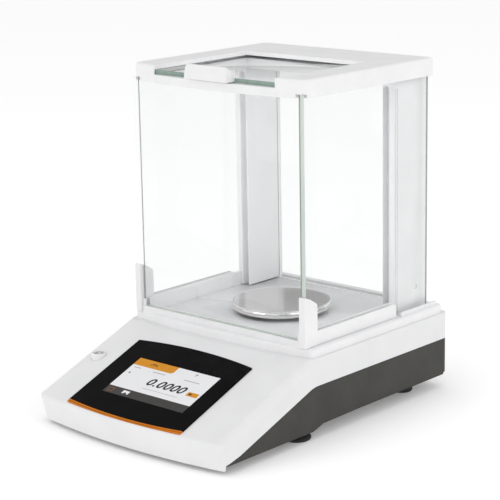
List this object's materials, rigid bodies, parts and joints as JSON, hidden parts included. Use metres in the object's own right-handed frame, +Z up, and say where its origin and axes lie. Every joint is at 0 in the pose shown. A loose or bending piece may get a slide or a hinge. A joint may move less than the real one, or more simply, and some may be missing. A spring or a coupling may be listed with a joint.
{
  "type": "analytical balance",
  "caption": "Analytical balance with a glass draft shield, sliding side and top doors, a round weighing pan and a sloping touch display.",
  "frame": {"origin": "middle of the footprint at table level", "axes": "+Z up, the display faces -Y, +X to the right of a person who faces the display"},
  "size_m": [0.216, 0.32, 0.3116],
  "materials": {
    "white_abs": "satin moulded",
    "grey_abs": "fine-textured moulded",
    "orange_polycarbonate": "gloss",
    "black_glass": "polished, back-printed",
    "module_steel": "stamped",
    "circuit_board": "solder mask",
    "vial_glass": "polished",
    "floor_plastic": "satin",
    "shield_glass": "polished float glass",
    "pan_steel": "brushed, polished rim",
    "support_plastic": "moulded",
    "cell_aluminium": "milled",
    "spring_bronze": "rolled strip",
    "copper_winding": "enamelled wire",
    "magnet_iron": "turned",
    "component_black": "moulded",
    "flat_cable": "extruded",
    "foot_rubber": "moulded",
    "foot_plastic": "moulded, ribbed",
    "screw_steel": "zinc plated",
    "cover_aluminium": "sheet"
  },
  "bodies": {
    "root": {"upper_housing": "white_abs", "base_tray": "grey_abs", "accent_strip": "orange_polycarbonate", "display_glass": "black_glass", "display_module": "module_steel", "display_board": "circuit_board", "level_bezel": "white_abs", "level_vial": "vial_glass", "base_frame": "white_abs", "chamber_floor": "floor_plastic", "front_glass": "shield_glass", "rear_glass": "shield_glass", "left_column": "white_abs", "right_column": "white_abs", "roof_frame": "white_abs", "cell_frame": "cell_aluminium", "pivot_flexure": "spring_bronze", "magnet_pot": "magnet_iron", "magnet_core": "magnet_iron", "position_sensor": "circuit_board", "main_board": "circuit_board", "board_components": "component_black", "ribbon_cable": "flat_cable", "cell_cable": "flat_cable", "power_jack": "component_black", "usb_port": "module_steel", "rear_feet": "foot_rubber", "cover_screw": "screw_steel", "case_screws": "screw_steel", "shield_screws": "screw_steel", "cell_screws": "screw_steel", "cell_cover": "cover_aluminium"},
    "left_door": {"left_door_glass": "shield_glass", "left_door_runner": "white_abs"},
    "right_door": {"right_door_glass": "shield_glass", "right_door_runner": "white_abs"},
    "top_door": {"top_door_glass": "shield_glass", "top_door_handle": "white_abs"},
    "receptor": {"load_receptor": "cell_aluminium", "coupling_strap": "spring_bronze"},
    "support": {"pan_support": "support_plastic"},
    "pan": {"weighing_pan": "pan_steel"},
    "upper_arm": {"upper_guide": "cell_aluminium"},
    "lower_arm": {"lower_guide": "cell_aluminium"},
    "lever": {"lever_beam": "cell_aluminium", "coil": "copper_winding"},
    "left_disc": {"left_foot_disc": "foot_rubber"},
    "left_screw": {"left_foot_screw": "foot_plastic"},
    "right_disc": {"right_foot_disc": "foot_rubber"},
    "right_screw": {"right_foot_screw": "foot_plastic"},
    "cover": {"port_cover": "grey_abs"}
  },
  "joints": [
    {"name": "left_door_slide", "type": "slide", "parent": "root", "child": "left_door", "axis": [0, 1, 0], "range_m": [0, 0.1]},
    {"name": "right_door_slide", "type": "slide", "parent": "root", "child": "right_door", "axis": [0, 1, 0], "range_m": [0, 0.1]},
    {"name": "top_door_slide", "type": "slide", "parent": "root", "child": "top_door", "axis": [0, 1, 0], "range_m": [0, 0.1]},
    {"name": "load_travel", "type": "slide", "parent": "root", "child": "receptor", "axis": [0, 0, -1], "range_m": [0, 0.0004], "stiffness_N_per_m": 60000},
    {"name": "support_lift", "type": "slide", "parent": "receptor", "child": "support", "axis": [0, 0, 1], "range_m": [0, 0.05]},
    {"name": "pan_lift", "type": "slide", "parent": "support", "child": "pan", "axis": [0, 0, 1], "range_m": [0, 0.08]},
    {"name": "upper_guide_flex", "type": "hinge", "parent": "root", "child": "upper_arm", "pos_m": [0, 0.0906, 0.0612], "axis": [1, 0, 0], "range_deg": [0, 0.6077]},
    {"name": "lower_guide_flex", "type": "hinge", "parent": "root", "child": "lower_arm", "pos_m": [0, 0.0906, 0.0228], "axis": [1, 0, 0], "range_deg": [0, 0.6077]},
    {"name": "lever_flex", "type": "hinge", "parent": "root", "child": "lever", "pos_m": [0, 0.07, 0.0435], "axis": [1, 0, 0], "range_deg": [0, 1.63]},
    {"name": "left_foot_lift", "type": "slide", "parent": "root", "child": "left_disc", "axis": [0, 0, -1], "range_m": [-0.002, 0.006]},
    {"name": "left_foot_turn", "type": "hinge", "parent": "left_disc", "child": "left_screw", "pos_m": [-0.09295, -0.039, 0], "axis": [0, 0, -1], "range_deg": [-700, 2140]},
    {"name": "right_foot_lift", "type": "slide", "parent": "root", "child": "right_disc", "axis": [0, 0, -1], "range_m": [-0.002, 0.006]},
    {"name": "right_foot_turn", "type": "hinge", "parent": "right_disc", "child": "right_screw", "pos_m": [0.09295, -0.039, 0], "axis": [0, 0, -1], "range_deg": [-700, 2140]},
    {"name": "cover_swivel", "type": "hinge", "parent": "root", "child": "cover", "pos_m": [0.021, 0.051, 0.011], "axis": [0, 0, -1], "range_deg": [0, 90]}
  ],
  "couplings": [
    {"joint": "upper_guide_flex", "follows": "load_travel", "rad_per_m": 25.253},
    {"joint": "lower_guide_flex", "follows": "load_travel", "rad_per_m": 25.253},
    {"joint": "lever_flex", "follows": "load_travel", "rad_per_m": 67.568},
    {"joint": "left_foot_lift", "follows": "left_foot_turn", "m_per_rad": 0.00015915},
    {"joint": "right_foot_lift", "follows": "right_foot_turn", "m_per_rad": 0.00015915}
  ]
}
